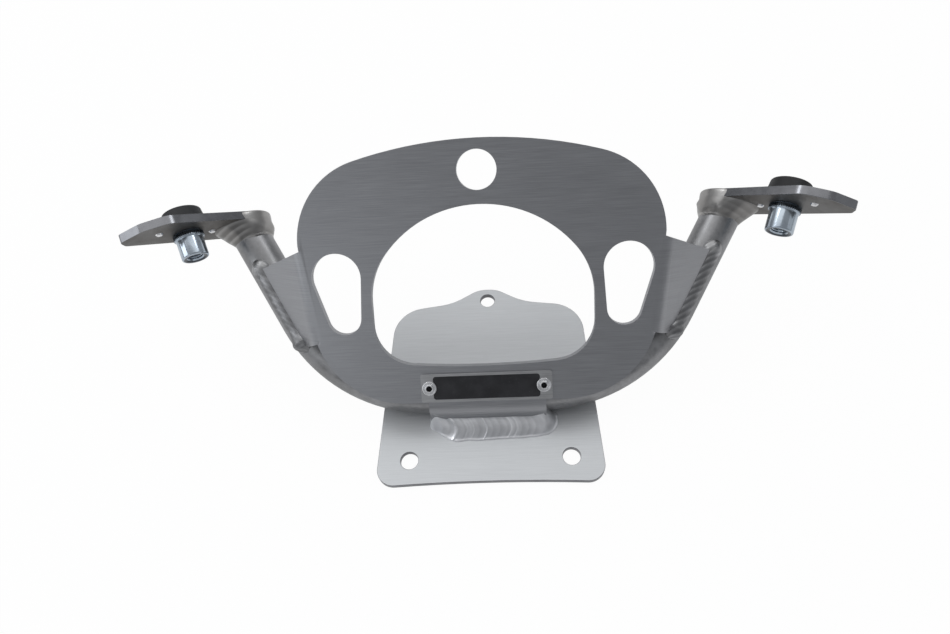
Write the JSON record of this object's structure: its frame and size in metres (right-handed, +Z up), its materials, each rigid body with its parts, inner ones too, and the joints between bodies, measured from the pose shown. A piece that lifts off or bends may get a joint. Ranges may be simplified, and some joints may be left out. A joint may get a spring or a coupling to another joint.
{
  "type": "fairing stay",
  "caption": "Welded aluminium motorbike fairing stay: base plate, bent tube, folded front plate with a duct opening, and side tabs with rivet nuts and rubber pads.",
  "frame": {"origin": "underside of the base, midway between its two front bolt holes", "axes": "+X to the stay's right as seen from its front edge, +Y from the front holes to the rear hole, +Z up off the base"},
  "size_m": [0.3208, 0.1267, 0.0998],
  "materials": {
    "base_aluminium": "fine brushed",
    "brushed_aluminium": "brushed",
    "tube_aluminium": "satin",
    "tab_aluminium": "satin",
    "weld_metal": "rippled weld bead",
    "zinc_plate": "bright zinc plate",
    "rivet_metal": "bright",
    "nameplate_metal": "satin dark field",
    "pad_rubber": "matt"
  },
  "bodies": {
    "root": {"base_plate": "base_aluminium", "front_plate": "brushed_aluminium", "tube": "tube_aluminium", "left_tab": "tab_aluminium", "right_tab": "tab_aluminium", "left_rivet_nut": "zinc_plate", "right_rivet_nut": "zinc_plate", "left_pad": "pad_rubber", "right_pad": "pad_rubber", "left_tab_rivets": "rivet_metal", "right_tab_rivets": "rivet_metal", "nameplate": "nameplate_metal", "nameplate_rivet_left": "rivet_metal", "nameplate_rivet_right": "rivet_metal", "base_weld": "weld_metal", "tube_base_weld": "weld_metal", "left_wing_weld": "weld_metal", "right_wing_weld": "weld_metal", "left_tab_weld": "weld_metal", "right_tab_weld": "weld_metal"}
  },
  "joints": []
}
